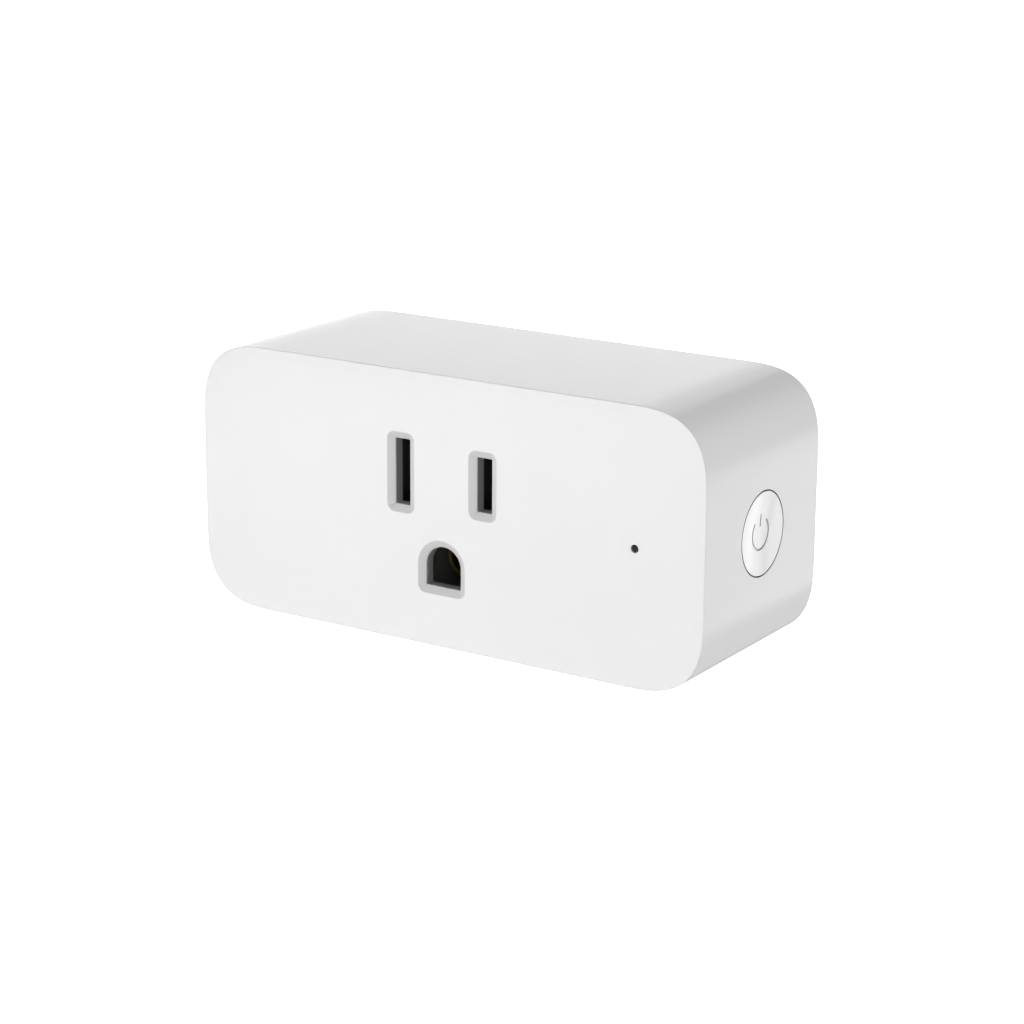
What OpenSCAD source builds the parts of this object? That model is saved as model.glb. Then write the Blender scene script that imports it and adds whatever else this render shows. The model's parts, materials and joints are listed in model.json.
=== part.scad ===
// Smart plug: a pass-through mains adapter with a switched outlet, a side button and a radio board.
// +X is the button side, +Y points into the wall, +Z is up. The origin is the centre of the wall face.

/* [Body] */
// Width of the body, side to side
body_w = 77.7; // [77.4:0.1:84]
// Height of the body
body_h = 36.4; // [36:0.1:42]
// Depth of the body, from front face to wall face
body_d = 29.8; // [29.8:0.1:34]
// Reach of each rounded corner along the sides
corner_r = 11.3; // [10:0.1:12]
// Fullness of the corners: 2 is a plain arc, 3 is squarer
corner_power = 2.96; // [2:0.02:3.2]
// Thickness of the side walls
wall = 2; // [1.8:0.1:2.2]
// Thickness of the front wall
face_t = 2.2; // [2.1:0.1:2.4]
// Thickness of the rear cover
cover_t = 2.2; // [2:0.1:2.2]

/* [Outlet] */
// Distance between the two blade centre lines
blade_pitch = 12.7; // [12.7]
// Height of the blade centres above the middle of the body
blade_z = 4.5; // [4:0.1:5]
// Drop from the blade centres to the ground pin
ground_drop = 11.9; // [11.9]
// Width of the blade slots
slot_w = 2.25; // [2.1:0.05:2.4]
// Height of the neutral slot
neutral_slot_h = 8.8; // [8.2:0.1:8.8]
// Height of the line slot
line_slot_h = 7.2; // [6.8:0.1:7.4]
// Width of the ground opening
ground_slot_w = 5.34; // [5.2:0.02:5.4]
// Width of the dished border round each opening
dish_w = 1; // [0.8:0.05:1.1]
// Depth of the dished border
dish_depth = 0.55; // [0.4:0.05:0.6]

/* [Prongs] */
// Length of the two blades beyond the wall face
blade_l = 17.5; // [16:0.1:18.2]
// Length of the ground pin beyond the wall face
ground_pin_l = 20.7; // [19.2:0.1:21.4]
// Width of the neutral blade
neutral_blade_w = 7.9; // [7.8:0.05:8]
// Width of the line blade
line_blade_w = 6.35; // [6.3:0.05:6.4]
// Thickness of both blades
blade_t = 1.52; // [1.4:0.02:1.6]
// Diameter of the ground pin
ground_pin_dia = 4.78; // [4.74:0.01:4.82]

/* [Button] */
// Diameter of the button
button_dia = 10.96; // [10.6:0.02:11]
// Gap between the button and its hole
button_gap = 0.15; // [0.1:0.01:0.2]
// Depth of the finger dish at its centre
button_dish = 0.42; // [0.2:0.02:0.5]
// Travel of the button
button_travel = 0.3; // [0.2:0.05:0.3]

/* [Relay] */
// Swing of the armature, in degrees
armature_angle = 2.6; // [1.5:0.1:2.8]

/* [Hidden] */
$fn = 48;

eps = 0.01;
fit = 0.1;              // clearance between parts that drop into each other
corner_steps = 12;      // facets in each rounded corner

// Openings of the outlet and the prongs behind them
neutral_x = -blade_pitch / 2;
line_x = blade_pitch / 2;
ground_z = blade_z - ground_drop;
ground_flat = 2.75;     // drop from the ground pin's centre to the flat of its opening
lip_t = 0.15;           // straight edge left under each dished border
nose_wall = 1.1;        // wall of each nose of the insert
pocket_face_t = 1.2;    // front wall left where the insert sits

// Socket insert, as depths behind the front face
insert_w = 24;
insert_top = 11.4;
insert_bottom = -12.6;
insert_front = 1.2;
chamber_front = 2.05;
insert_rear = 20.4;
chamber_w = 6.1;
ground_chamber_r = 3.6;

// Boards, as depths behind the front face
pcb_front = 22.4;
pcb_t = 1.6;
pcb_rear = pcb_front + pcb_t;
lead_end = 24.8;        // where soldered leads end behind the board

// Screw posts at the corners
post_x = body_w / 2 - 6.85;
post_z = body_h / 2 - 6.7;
post_r = 2.75;
post_tip_r = 2.2;
screw_r = 1.05;

// Button stack along X
side_x = body_w / 2;
button_r = button_dia / 2;
button_y = -body_d / 2;
flange_r = 6;
switch_pcb_x = side_x - 8.95;
switch_pcb_t = 1;
tact_x = switch_pcb_x + switch_pcb_t;
tact_h = 3.3;
plunger_top = tact_x + 4.3;

// Indicator
led_x = side_x - 9.95;
led_hole_r = 0.5;
led_depth = 9.2;

// Relay, centred on relay_x and standing on the board
relay_x = 18.75 - side_x;
relay_w = 15.4;
relay_l = 19.2;
relay_front = 6.2;
relay_wall = 0.9;
coil_z = -1.2;
yoke_z = -7.3;
armature_d = 8.5;       // depth of the armature's pole side, and of its hinge line
hinge_r = 0.3;
relay_coil_pins_z = 4.6;
relay_terminals = [[relay_x - 3.9, relay_coil_pins_z], [relay_x + 3.9, relay_coil_pins_z],
                   [relay_x, 7.8], [relay_x + 3, yoke_z]];

// Leaded parts on the board
bulk_cap = [6.65 - side_x, 0];
output_cap = [16.4, -7];
varistor_at = [relay_x - 0.4, body_h / 2 - 5.3];
fuse_at = [relay_x - 0.9, 5.3 - body_h / 2];
inductor_at = [17.6, 8.2];
wifi_x = side_x - 14.25;
wifi_t = 0.8;
wifi_pin_x = wifi_x + wifi_t + 0.6;
wifi_pin_zs = [for (i = [-2.5 : 2.5]) i * 2];
thin_leads = concat(
    [for (s = [-1, 1]) [bulk_cap[0], bulk_cap[1] + s * 1.75]],
    [for (s = [-1, 1]) [output_cap[0], output_cap[1] + s * 1.25]],
    [for (s = [-1, 1]) [varistor_at[0] + s * 2.5, varistor_at[1]]],
    [for (s = [-1, 1]) [fuse_at[0] + s * 6.6, fuse_at[1]]],
    [for (s = [-1, 1]) [inductor_at[0], inductor_at[1] + s * 3.2]],
    [for (z = wifi_pin_zs) [wifi_pin_x, z]]
);
lead_r = 0.32;

// Depth behind the front face as a Y coordinate
function at(depth) = depth - body_d;

// Outline of the body in X and Z, drawn in by inset on every side
function corner_point(t, r) = [r * pow(cos(t), 2 / corner_power), r * pow(sin(t), 2 / corner_power)];
function outline_points(inset) =
    let (w = body_w / 2 - inset, h = body_h / 2 - inset, r = corner_r - inset)
    [for (q = [0 : 3], i = [0 : corner_steps])
        let (turn = q % 2 == 0 ? i : corner_steps - i,
             c = corner_point(90 * turn / corner_steps, r),
             sx = q == 0 || q == 3 ? 1 : -1,
             sz = q < 2 ? 1 : -1)
        [sx * (w - r + c[0]), sz * (h - r + c[1])]];

module body_outline(inset = 0) polygon(outline_points(inset));

// A flat shape in X and Z, given thickness between two depths
module slab(d0, d1) translate([0, at(d1), 0]) rotate([90, 0, 0]) linear_extrude(d1 - d0) children();

// A box between two corners
module block(a, b) translate(a) cube(b - a);

// A box given by its centre and size in X and Z, between two depths
module post_box(x, z, w, h, d0, d1) block([x - w / 2, at(d0), z - h / 2], [x + w / 2, at(d1), z + h / 2]);

// Round bars along Y, between two depths, and along X
module rod_y(x, z, r, d0, d1) translate([x, at(d0), z]) rotate([-90, 0, 0]) cylinder(h = d1 - d0, r = r);
module rod_x(y, z, r, x0, x1) translate([x0, y, z]) rotate([0, 90, 0]) cylinder(h = x1 - x0, r = r);

module at_posts() for (sx = [-1, 1], sz = [-1, 1]) translate([sx * post_x, 0, sz * post_z]) children();

// Plan of each opening: grow moves every edge outwards, and rounds the corners by the same amount
module slot_plan(x, h, grow = 0) {
    r = max(grow, eps);
    translate([x, blade_z]) hull() for (sx = [-1, 1], sz = [-1, 1])
        translate([sx * (slot_w / 2 + grow - r), sz * (h / 2 + grow - r)]) circle(r, $fn = 32);
}

module box_plan(x, h, grow = 0)
    translate([x - slot_w / 2 - grow, blade_z - h / 2 - grow]) square([slot_w + 2 * grow, h + 2 * grow]);

module ground_plan(grow = 0) {
    r = ground_slot_w / 2 + grow;
    translate([0, ground_z]) {
        circle(r);
        translate([-r, -ground_flat - grow]) square([2 * r, ground_flat + grow]);
    }
}

// A dished border: wide at the front face, and narrowed to the opening itself at its floor
module dish() {
    hull() {
        translate([0, at(-eps), 0]) rotate([90, 0, 0]) linear_extrude(eps) children(0);
        translate([0, at(dish_depth), 0]) rotate([90, 0, 0]) linear_extrude(eps) children(1);
    }
}

module outlet_openings(d0, d1, grow = 0) {
    slab(d0, d1) box_plan(neutral_x, neutral_slot_h, grow);
    slab(d0, d1) box_plan(line_x, line_slot_h, grow);
    slab(d0, d1) ground_plan(grow);
}

module insert_plan(grow = 0)
    translate([-insert_w / 2 - grow, insert_bottom - grow])
        square([insert_w + 2 * grow, insert_top - insert_bottom + 2 * grow]);

// ---------------------------------------------------------------- housing

module front_shell() color("whitesmoke") {
    difference() {
        union() {
            difference() {
                slab(0, body_d) body_outline();
                slab(face_t, body_d + 1) body_outline(wall);
                slab(body_d - cover_t, body_d + 1) body_outline(wall / 2);
            }
            screw_posts();
            button_collar();
            rod_y(led_x, 0, 2.3, face_t - eps, 6);
        }
        dish() { slot_plan(neutral_x, neutral_slot_h, dish_w); slot_plan(neutral_x, neutral_slot_h); }
        dish() { slot_plan(line_x, line_slot_h, dish_w); slot_plan(line_x, line_slot_h); }
        dish() { ground_plan(dish_w); ground_plan(); }
        outlet_openings(-1, 3);
        outlet_openings(dish_depth + lip_t, 3, nose_wall + fit / 2);
        slab(pocket_face_t, 3) insert_plan(fit);
        rod_y(led_x, 0, led_hole_r, -1, 3);
        rod_y(led_x, 0, 1.5, face_t, 7);
        rod_x(button_y, 0, button_r + button_gap, side_x - wall - 1, side_x + 1);
        at_posts() rod_y(0, 0, screw_r + fit / 2, body_d - 11, body_d);
    }
}

// Posts that take the cover screws: the board rests on their shoulders
module screw_posts() {
    rib_t = 1;
    at_posts() {
        rod_y(0, 0, post_r, face_t - eps, pcb_front - 0.05);
        rod_y(0, 0, post_tip_r, face_t, body_d - cover_t - 0.05);
    }
    for (sx = [-1, 1], sz = [-1, 1])
        block([min(sx * post_x, sx * (side_x - wall + eps)), at(face_t - eps), sz * post_z - rib_t / 2],
              [max(sx * post_x, sx * (side_x - wall + eps)), at(12), sz * post_z + rib_t / 2]);
}

// Ring on the inside of the side wall that keeps the button square
module button_collar() difference() {
    rod_x(button_y, 0, 7.15, side_x - wall - 2.6, side_x - wall + eps);
    rod_x(button_y, 0, flange_r + 0.15, side_x - wall - 3, side_x - wall);
}

module rear_cover() color("whitesmoke") {
    rear = body_d - cover_t;
    difference() {
        union() {
            slab(rear, body_d) body_outline(wall / 2 + fit);
            difference() {
                slab(pcb_rear + 0.05, rear + eps) body_outline(wall + fit);
                slab(pcb_rear, rear) body_outline(wall + fit + 1.2);
            }
            for (s = [-1, 1]) rod_y(s * clamp_x, clamp_z, 2, rear - shoulder_t, rear + eps);
        }
        at_posts() {
            rod_y(0, 0, 1.25, rear - 1, body_d + 1);
            rod_y(0, 0, 2.4, body_d - 1.3, body_d + 1);
        }
        post_box(neutral_x, blade_z, blade_t + fit, neutral_blade_w + fit, rear - 1, body_d + 1);
        post_box(line_x, blade_z, blade_t + fit, line_blade_w + fit, rear - 1, body_d + 1);
        rod_y(0, ground_z, pin_collar_r + fit / 2, rear - 1, body_d + 1);
        for (s = [-1, 1]) rod_y(s * clamp_x, clamp_z, 0.8, rear - 2, body_d - 0.8);
    }
}

// Pan-head screw with a cross recess, pointing away from +Y at the origin of its head's top
module screw(head_r, head_t, shank_r, length) difference() {
    recess_l = head_r * 1.1;
    recess_w = head_r * 0.22;
    union() {
        translate([0, -head_t, 0]) rotate([-90, 0, 0]) cylinder(h = head_t, r1 = head_r, r2 = head_r * 0.86);
        translate([0, -length, 0]) rotate([-90, 0, 0]) cylinder(h = length - head_t + eps, r = shank_r);
    }
    for (turn = [0, 90]) rotate([0, turn, 0])
        translate([-recess_l / 2, -head_t * 0.6, -recess_w / 2]) cube([recess_l, head_t, recess_w]);
}

module cover_screws() color("silver") at_posts() translate([0, -0.15, 0]) screw(2.1, 1.1, screw_r, 9.6);

// ---------------------------------------------------------------- button and indicator

module power_button() color("white") {
    dish_reach = button_r - 0.25;
    dish_r = (pow(dish_reach, 2) + pow(button_dish, 2)) / (2 * button_dish);
    mark_r = 2.3;
    mark_w = 0.34;
    mark_x = side_x - button_dish - 0.12;
    difference() {
        union() {
            rod_x(button_y, 0, button_r, side_x - wall - 1.2, side_x);
            rod_x(button_y, 0, flange_r, side_x - wall - 1.2, side_x - wall - 0.05);
        }
        translate([side_x + dish_r - button_dish, button_y, 0]) sphere(dish_r, $fn = 96);
        rod_x(button_y, 0, 4.4, side_x - wall - 2, side_x - wall - 0.1);
        translate([mark_x, button_y, 0]) rotate([0, 90, 0]) linear_extrude(3) power_mark(mark_r, mark_w);
    }
    rod_x(button_y, 0, 1.5, plunger_top + 0.05, side_x - wall);
}

// Generic on/off mark: a ring with a gap at the top and a short stroke through the gap.
// -X of this plan is up on the button.
module power_mark(r, w) {
    difference() {
        circle(r + w / 2);
        circle(r - w / 2);
        polygon([[0, 0], [-2 * r, 2 * r], [-3 * r, 0], [-2 * r, -2 * r]]);
    }
    translate([-r - 0.35, -w / 2]) square([1.65, w]);
}

module light_pipe() color("dimgray") {
    rod_y(led_x, 0, led_hole_r - 0.03, 0.2, face_t + 0.1);
    rod_y(led_x, 0, 1.4, face_t + 0.02, 7.6);
    rod_y(led_x, 0, 0.9, 7.5, led_depth - 0.4);
}

module status_led() color("ivory") {
    post_box(led_x, 0, 1.98, 2, led_depth, led_depth + 1.8);
    rod_y(led_x, 0, 0.8, led_depth - 0.3, led_depth + eps);
}

// ---------------------------------------------------------------- outlet

module socket_insert() color([0.1, 0.1, 0.11]) difference() {
    union() {
        slab(insert_front, insert_rear) insert_plan();
        outlet_openings(dish_depth + lip_t, insert_front + eps, nose_wall);
    }
    outlet_openings(0, chamber_front + eps);
    for (side = [[neutral_x, neutral_slot_h], [line_x, line_slot_h]])
        post_box(side[0], blade_z, chamber_w, side[1] + 1.6, chamber_front, insert_rear + 1);
    rod_y(0, ground_z, ground_chamber_r, chamber_front, insert_rear + 1);
    // cored-out middle, so the moulding has no thick core
    post_box(0, blade_z + 1, 3.4, 9, chamber_front + 2, insert_rear + 1);
}

module contact_cover() color([0.13, 0.13, 0.14]) difference() {
    slab(insert_rear + 0.05, insert_rear + 1) insert_plan();
    for (x = [neutral_x, line_x]) post_box(x, tail_z, 0.9, tail_w + 0.4, insert_rear - 1, insert_rear + 2);
    rod_y(0, ground_z, 2.7, insert_rear - 1, insert_rear + 2);
    post_box(0, ground_tail_z, tail_w + 1, 0.9, insert_rear - 1, insert_rear + 2);
}

leaf_t = 0.5;
tail_w = 2.4;
tail_z = blade_z + 2.9;
sleeve_r = ground_pin_dia / 2 + 0.03;
sleeve_t = 0.53;
ground_tail_z = ground_z - sleeve_r - sleeve_t / 2;

// One contact leaf: a line of [offset from the blade, depth] points given thickness
module leaf(points) {
    n = len(points);
    polygon(concat(
        [for (p = points) [p[0] - leaf_t / 2, p[1]]],
        [for (i = [n - 1 : -1 : 0]) [points[i][0] + leaf_t / 2, points[i][1]]]
    ));
}

// Two sprung leaves that wipe the blade, a bridge behind its tip, and a solder tail.
// They stand open at the blade's own thickness.
module blade_contact(x, h) {
    grip = blade_t / 2 + 0.04 + leaf_t / 2;
    path = [[2.1, 6], [grip, 9], [grip, 12.6], [2, 16], [2, 19.2]];
    bottom = blade_z - h / 2;
    top = blade_z + h / 2;
    translate([x, -body_d, bottom]) linear_extrude(h) {
        leaf(path);
        mirror([1, 0]) leaf(path);
        translate([-2.25, 18.7]) square([4.5, leaf_t]);
    }
    post_box(x, (tail_z + top) / 2, leaf_t, top - tail_z, 18.8, 20);
    post_box(x, tail_z, leaf_t, tail_w, 18.8, lead_end);
}

module neutral_contact() color("goldenrod") blade_contact(neutral_x, 7.6);
module line_contact() color("goldenrod") blade_contact(line_x, 7.2);

// Rolled sleeve with a lengthwise split at its top, and a strap back to its solder tail
module ground_contact() color("goldenrod") {
    difference() {
        rod_y(0, ground_z, sleeve_r + sleeve_t, 6, 15);
        rod_y(0, ground_z, sleeve_r, 5, 16);
        post_box(0, ground_z + 3, 1.6, 6, 5, 16);
    }
    difference() {
        post_box(0, ground_tail_z, 3, sleeve_t, 6, lead_end);
        rod_y(0, ground_z, sleeve_r, 5, lead_end + 1);
    }
}

// ---------------------------------------------------------------- prongs

shoulder_t = 1.2;       // flange of each prong, trapped behind the cover
pin_collar_r = ground_pin_dia / 2 + 0.35;
clamp_x = 9.4;
clamp_z = -8.6;
blade_tail_w = 3;
blade_tail_t = 1;
blade_tail_z = blade_z - 1;
tail_end = 21.6;

// Flat blade with bevelled tip, a cross hole, and a flange and tail inside the cover
module blade(x, w) {
    bevel = 1.4;
    tip = blade_l + body_d;
    half = blade_t / 2;
    rear = body_d - cover_t;
    difference() {
        translate([x, 0, blade_z - w / 2]) linear_extrude(w)
            polygon([[-half, -cover_t - shoulder_t], [half, -cover_t - shoulder_t], [half, blade_l - bevel],
                     [half * 0.4, blade_l], [-half * 0.4, blade_l], [-half, blade_l - bevel]]);
        for (s = [-1, 1]) translate([x, blade_l, blade_z + s * w / 2]) rotate([45, 0, 0])
            cube([4, bevel, bevel], center = true);
        rod_x(11.9, blade_z, 1.6, x - 2, x + 2);
    }
    post_box(x, blade_z, blade_t + 1.6, w + 0.6, rear - shoulder_t, rear - 0.02);
    post_box(x, blade_tail_z, blade_tail_t, blade_tail_w, tail_end, rear - shoulder_t + eps);
}

module neutral_blade() color("silver") blade(neutral_x, neutral_blade_w);
module line_blade() color("silver") blade(line_x, line_blade_w);

module ground_pin() color("silver") {
    r = ground_pin_dia / 2;
    rear = body_d - cover_t;
    rod_y(0, ground_z, r, body_d - 0.1, body_d + ground_pin_l - r);
    rod_y(0, ground_z, pin_collar_r, rear - shoulder_t, body_d - 0.02);
    intersection() {
        translate([0, ground_pin_l - r, ground_z]) sphere(r, $fn = 64);
        translate([-5, ground_pin_l - r - eps, ground_z - 5]) cube(10);
    }
    rod_y(0, ground_z, 3.8, rear - shoulder_t, rear - 0.02);
    rod_y(0, ground_z, 1.2, tail_end, rear - shoulder_t + eps);
}

module blade_clamp() color("gainsboro") {
    rear = body_d - cover_t - shoulder_t;
    difference() {
        post_box(0, -1, 25, 22, rear - 1.5, rear - 0.03);
        for (x = [neutral_x, line_x])
            post_box(x, blade_tail_z, blade_tail_t + 0.3, blade_tail_w + 0.3, rear - 2, rear + 1);
        rod_y(0, ground_z, 1.3, rear - 2, rear + 1);
        for (s = [-1, 1]) {
            rod_y(s * clamp_x, clamp_z, 0.95, rear - 2, rear + 1);
            rod_y(s * clamp_x, clamp_z, 1.7, rear - 2, rear - 0.6);
        }
    }
}

module clamp_screws() color("silver") for (s = [-1, 1])
    translate([s * clamp_x, at(body_d - cover_t - shoulder_t - 1.45), clamp_z]) rotate([0, 0, 180])
        screw(1.6, 0.8, 0.75, 4);

// ---------------------------------------------------------------- power paths

bar_front = 21.65;
bar_rear = 22.3;

module neutral_busbar() color("peru") difference() {
    post_box(neutral_x, blade_z + 0.8, 3, 8.6, bar_front, bar_rear);
    post_box(neutral_x, tail_z, leaf_t + fit, tail_w + fit, 21, 23);
    post_box(neutral_x, blade_tail_z, blade_tail_t + fit, blade_tail_w + fit, 21, 23);
}

// From the relay's fixed contact across to the line contact
module load_busbar() color("peru") difference() {
    union() {
        block([relay_x - 1, at(bar_front), 10.1], [line_x + 1.5, at(bar_rear), 12.1]);
        block([line_x - 1.5, at(bar_front), tail_z - 1.8], [line_x + 1.5, at(bar_rear), 12]);
    }
    post_box(line_x, tail_z, leaf_t + fit, tail_w + fit, 21, 23);
}

// On the rear of the board, from the line blade to the relay's common terminal
module line_busbar() color("peru") {
    d0 = pcb_rear + 0.03;
    d1 = pcb_rear + 0.6;
    low = -1.6;
    pin_x = relay_x + 3;
    difference() {
        union() {
            block([pin_x - 1.5, at(d0), low], [line_x + 1.5, at(d1), low + 2]);
            block([pin_x - 1.5, at(d0), yoke_z - 1.3], [pin_x + 1.5, at(d1), low + 1]);
            block([line_x - 1.5, at(d0), low], [line_x + 1.5, at(d1), blade_tail_z + 2.2]);
        }
        post_box(line_x, blade_tail_z, blade_tail_t + fit, blade_tail_w + fit, d0 - 1, d1 + 1);
        rod_y(pin_x, yoke_z, 0.63, d0 - 1, d1 + 1);
    }
}

module ground_link() color("peru") difference() {
    post_box(0, ground_z - 0.7, 4.4, 5.6, bar_front, bar_rear);
    rod_y(0, ground_z, 1.25, 21, 23);
    post_box(0, ground_tail_z, 3 + fit, sleeve_t + fit, 21, 23);
}

// ---------------------------------------------------------------- boards

module main_pcb() color([0.05, 0.3, 0.16]) difference() {
    slab(pcb_front, pcb_rear) body_outline(wall + 0.5);
    at_posts() rod_y(0, 0, post_tip_r + 0.2, pcb_front - 1, pcb_rear + 1);
    for (x = [neutral_x, line_x]) {
        post_box(x, tail_z, leaf_t + 0.2, tail_w + 0.2, pcb_front - 1, pcb_rear + 1);
        post_box(x, blade_tail_z, blade_tail_t + 0.2, blade_tail_w + 0.2, pcb_front - 1, pcb_rear + 1);
    }
    rod_y(0, ground_z, 1.35, pcb_front - 1, pcb_rear + 1);
    post_box(0, ground_tail_z, 3.2, sleeve_t + 0.2, pcb_front - 1, pcb_rear + 1);
    post_box(switch_pcb_x + switch_pcb_t / 2, 0, switch_pcb_t + 0.2, 8.2, pcb_front - 1, pcb_rear + 1);
    for (p = relay_terminals) rod_y(p[0], p[1], 0.7, pcb_front - 1, pcb_rear + 1);
    for (p = thin_leads) rod_y(p[0], p[1], lead_r + 0.13, pcb_front - 1, pcb_rear + 1);
}

// Upright board with the switch on one face and the indicator on the other
module switch_pcb() color([0.05, 0.3, 0.16]) {
    block([switch_pcb_x, at(8), -7.6], [tact_x, at(pcb_front - 0.05), 7.6]);
    block([switch_pcb_x, at(pcb_front - 0.1), -4], [tact_x, at(lead_end), 4]);
}

// ---------------------------------------------------------------- push switch

tact_cavity_r = 2.45;
dome_x = tact_x + 1.22;
dome_rise = button_travel + 0.2;
nub_l = 0.4;
plunger_flange_x = dome_x + dome_rise + 0.03 + nub_l;

module tact_base() color([0.15, 0.15, 0.15]) difference() {
    block([tact_x, button_y - 3, -3], [tact_x + tact_h - 0.25, button_y + 3, 3]);
    rod_x(button_y, 0, tact_cavity_r, dome_x - 0.02, tact_x + 5);
}

module tact_cover() color("silver") difference() {
    block([tact_x + 1, button_y - 3.2, -3.2], [tact_x + tact_h, button_y + 3.2, 3.2]);
    block([tact_x, button_y - 3.02, -3.02], [tact_x + tact_h - 0.22, button_y + 3.02, 3.02]);
    rod_x(button_y, 0, 1.75, tact_x, tact_x + 5);
}

// Thin snap dome that returns the plunger
module tact_dome() color("silver") {
    reach = tact_cavity_r - 0.15;
    r = (reach * reach + dome_rise * dome_rise) / (2 * dome_rise);
    intersection() {
        translate([dome_x + dome_rise - r, button_y, 0]) difference() {
            sphere(r, $fn = 96);
            sphere(r - 0.1, $fn = 96);
        }
        rod_x(button_y, 0, reach, dome_x, dome_x + 1);
    }
}

module tact_plunger() color([0.2, 0.2, 0.2]) {
    rod_x(button_y, 0, 2.2, plunger_flange_x, plunger_flange_x + 0.6);
    rod_x(button_y, 0, 1.65, plunger_flange_x + eps, plunger_top);
    rod_x(button_y, 0, 0.6, plunger_flange_x - nub_l, plunger_flange_x + eps);
}

module tact_terminals() color("silver") for (sy = [-1, 1], sz = [-1, 1])
    translate([tact_x + 0.02, button_y + sy * 3.9 - 0.65, sz * 2.25 - 0.35]) cube([0.25, 1.3, 0.7]);

// ---------------------------------------------------------------- relay

module relay_case() color([0.1, 0.25, 0.6]) difference() {
    post_box(relay_x, 0, relay_w, relay_l, relay_front, 22);
    post_box(relay_x, 0, relay_w - 2 * relay_wall, relay_l - 2 * relay_wall, relay_front + relay_wall, 23);
}

module relay_base() color([0.1, 0.1, 0.12]) difference() {
    post_box(relay_x, 0, relay_w - 2 * relay_wall - 0.2, relay_l - 2 * relay_wall - 0.2, 20.4, 22.3);
    for (p = relay_terminals) rod_y(p[0], p[1], 0.65, 20, 23);
}

module relay_yoke() color("lightsteelblue") {
    w = 10;
    difference() {
        union() {
            post_box(relay_x, yoke_z, w, 1.2, armature_d + 0.1, 19.6);
            block([relay_x - w / 2, at(18.4), yoke_z], [relay_x + w / 2, at(19.6), 3.5]);
        }
        rod_y(relay_x, coil_z, 2.03, 17, 21);
        rod_x(at(armature_d), yoke_z, hinge_r + 0.06, relay_x - w, relay_x + w);
    }
    rod_y(relay_x + 3, yoke_z, 0.58, 19.5, lead_end);
}

// The pole face stands just clear of the armature when it has swung in
module relay_core() color("silver") {
    pole_r = 2.8;
    pole = armature_d + swing(coil_z + pole_r) + 0.07;
    rod_y(relay_x, coil_z, 2, pole + 0.1, 19.6);
    rod_y(relay_x, coil_z, pole_r, pole, pole + 0.6);
}

module relay_bobbin() color("ivory") difference() {
    union() {
        block([relay_x - 5.2, at(9.6), -6.3], [relay_x + 5.2, at(10.6), 3.9]);
        block([relay_x - 5.2, at(17.3), -6.3], [relay_x + 5.2, at(18.35), 5.4]);
        rod_y(relay_x, coil_z, 2.9, 10.5, 17.4);
    }
    rod_y(relay_x, coil_z, 2.05, 9, 19);
}

module relay_coil() color("chocolate") difference() {
    rod_y(relay_x, coil_z, 4.8, 10.65, 17.25);
    rod_y(relay_x, coil_z, 2.93, 10, 18);
}

// How far the armature travels at a given height
function swing(z) = (z - yoke_z) * sin(armature_angle);

// Rocks on a bead in a groove of the yoke's front edge; the coil pulls it towards +Y
module relay_armature() color("lightsteelblue") {
    block([relay_x - 4.5, at(armature_d - 0.6), -7.9], [relay_x + 4.5, at(armature_d), 3.2]);
    rod_x(at(armature_d), yoke_z, hinge_r, relay_x - 4.4, relay_x + 4.4);
}

module relay_contact_spring() color("peru") {
    leaf_front = armature_d - 0.9;
    block([relay_x - 2.5, at(leaf_front), -6], [relay_x + 2.5, at(armature_d - 0.6), 8]);
    rod_y(relay_x, 6.8, 1.4, leaf_front + 0.2, armature_d + 0.2);
}

module relay_fixed_contact() color("peru") {
    face = armature_d + 0.2 + swing(8.2) + 0.12;
    rod_y(relay_x, 6.8, 1.4, face, face + 0.6);
    block([relay_x - 1.9, at(face + 0.55), 5.4], [relay_x + 1.9, at(face + 1.25), 8.2]);
    block([relay_x - 1.5, at(face + 0.6), 7.4], [relay_x + 1.5, at(20.35), 8.2]);
    rod_y(relay_x, 7.8, 0.58, 20, lead_end);
}

module relay_coil_pins() color("silver") for (s = [-1, 1])
    rod_y(relay_x + s * 3.9, relay_coil_pins_z, 0.45, 18.37, lead_end);

// ---------------------------------------------------------------- leaded parts

module leads(first, count, from) for (i = [first : first + count - 1])
    rod_y(thin_leads[i][0], thin_leads[i][1], lead_r, from, lead_end);

// Aluminium can: beaded near its base, with a rounded closed end towards the front
module can(x, z, r, front) {
    h = 22.3 - front;
    translate([x, at(22.3), z]) rotate([90, 0, 0]) rotate_extrude()
        polygon([[0, 0], [r - 0.3, 0], [r, 0.3], [r, 1.2], [r - 0.35, 1.6], [r - 0.35, 1.9], [r, 2.3],
                 [r, h - 0.5], [r - 0.15, h - 0.15], [r - 0.5, h], [0, h]]);
}

module bulk_capacitor() color([0.08, 0.08, 0.1]) {
    can(bulk_cap[0], bulk_cap[1], 4, 9.6);
    leads(0, 2, 22.2);
}

module output_capacitor() color([0.1, 0.12, 0.2]) {
    can(output_cap[0], output_cap[1], 3.15, 10.8);
    leads(2, 2, 22.2);
}

// Coated disc, thicker in the middle than at its rim
module varistor() color("royalblue") {
    r = 4.6;
    translate([varistor_at[0], at(15.6), varistor_at[1]]) rotate_extrude()
        polygon([[0, -1.6], [r - 1.2, -1.6], [r - 0.4, -1.2], [r, -0.5], [r, 0.5], [r - 0.4, 1.2],
                 [r - 1.2, 1.6], [0, 1.6]]);
    leads(4, 2, 18.4);
}

fuse_d = 19.6;

module fuse() color("ivory") rod_x(at(fuse_d), fuse_at[1], 1.7, fuse_at[0] - 3.4, fuse_at[0] + 3.4);

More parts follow.
